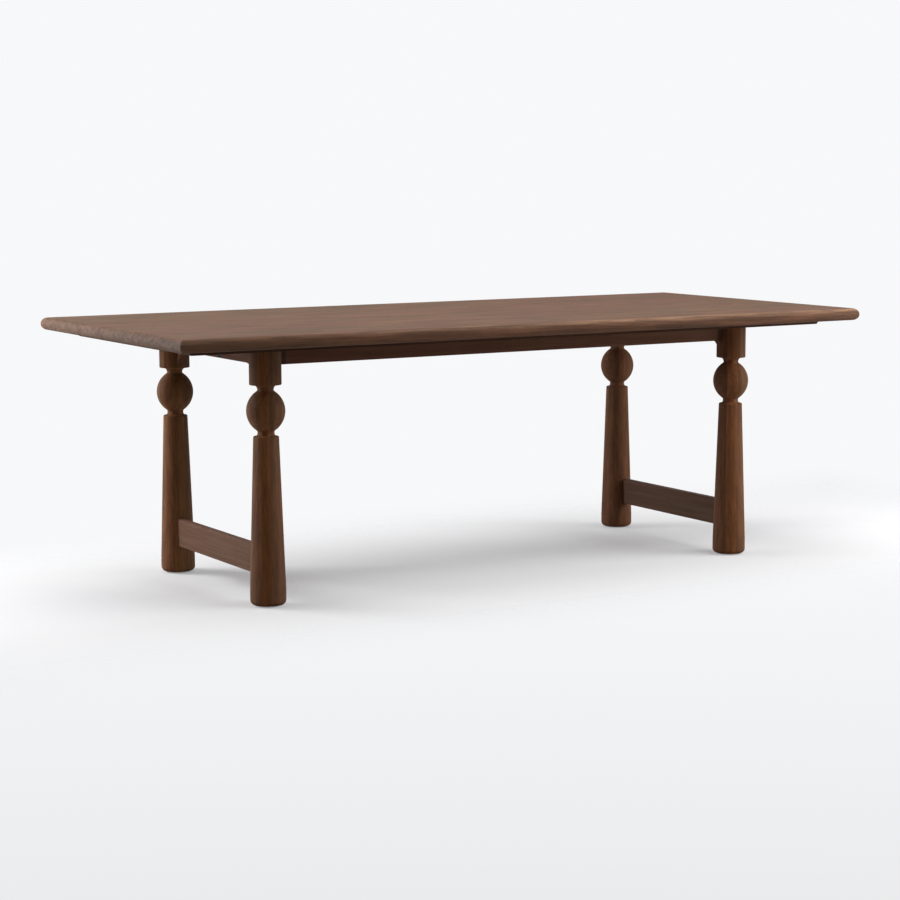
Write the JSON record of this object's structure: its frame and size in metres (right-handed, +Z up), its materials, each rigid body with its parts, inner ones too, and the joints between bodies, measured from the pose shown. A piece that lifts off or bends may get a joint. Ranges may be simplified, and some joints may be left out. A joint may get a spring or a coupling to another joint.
{
  "type": "dining table",
  "caption": "Rectangular wooden dining table with a rounded solid top, turned ball-and-taper legs in end frames, slim aprons and low end stretchers.",
  "frame": {"origin": "centre of the table's footprint, on the floor", "axes": "+X along the table's length, +Y towards the back long side, +Z up; the table's front long side faces -Y and its left end faces -X"},
  "size_m": [2.266, 1.016, 0.762],
  "materials": {
    "top_wood": "brown stained oak, matt lacquer",
    "base_wood": "brown stained oak, satin lacquer",
    "frame_wood": "dark stained plywood, matt",
    "dowel_wood": "bare beech",
    "black_steel": "black oxide",
    "zinc_steel": "bright zinc plate",
    "glide_nylon": "dark brown nylon"
  },
  "bodies": {
    "root": {"top_board_1": "top_wood", "top_board_2": "top_wood", "top_board_3": "top_wood", "top_board_4": "top_wood", "top_board_5": "top_wood", "top_board_6": "top_wood", "top_board_7": "top_wood", "top_board_8": "top_wood", "frame_front_rail": "frame_wood", "frame_back_rail": "frame_wood", "frame_left_end_member": "frame_wood", "frame_right_end_member": "frame_wood", "frame_left_cross_member": "frame_wood", "frame_right_cross_member": "frame_wood", "frame_centre_cross_member": "frame_wood", "front_left_leg": "base_wood", "front_right_leg": "base_wood", "back_right_leg": "base_wood", "back_left_leg": "base_wood", "front_apron": "base_wood", "back_apron": "base_wood", "left_end_apron": "base_wood", "right_end_apron": "base_wood", "left_stretcher": "base_wood", "right_stretcher": "base_wood", "centre_cross_rail": "base_wood", "front_left_bracket": "zinc_steel", "front_right_bracket": "zinc_steel", "back_right_bracket": "zinc_steel", "back_left_bracket": "zinc_steel", "front_left_glide": "glide_nylon", "front_right_glide": "glide_nylon", "back_right_glide": "glide_nylon", "back_left_glide": "glide_nylon", "top_bolts": "black_steel", "top_bolt_flat_washers": "zinc_steel", "top_bolt_spring_washers": "zinc_steel", "top_bolt_inserts": "zinc_steel", "apron_bolts": "black_steel", "apron_bolt_washers": "zinc_steel", "apron_bolt_inserts": "zinc_steel", "hanger_bolts": "zinc_steel", "hanger_bolt_washers": "zinc_steel", "hanger_bolt_nuts": "zinc_steel", "bracket_screws": "zinc_steel", "stretcher_dowels": "dowel_wood", "end_apron_dowels": "dowel_wood", "frame_dowels": "dowel_wood", "cross_rail_dowels": "dowel_wood", "glide_nails": "zinc_steel"}
  },
  "joints": []
}
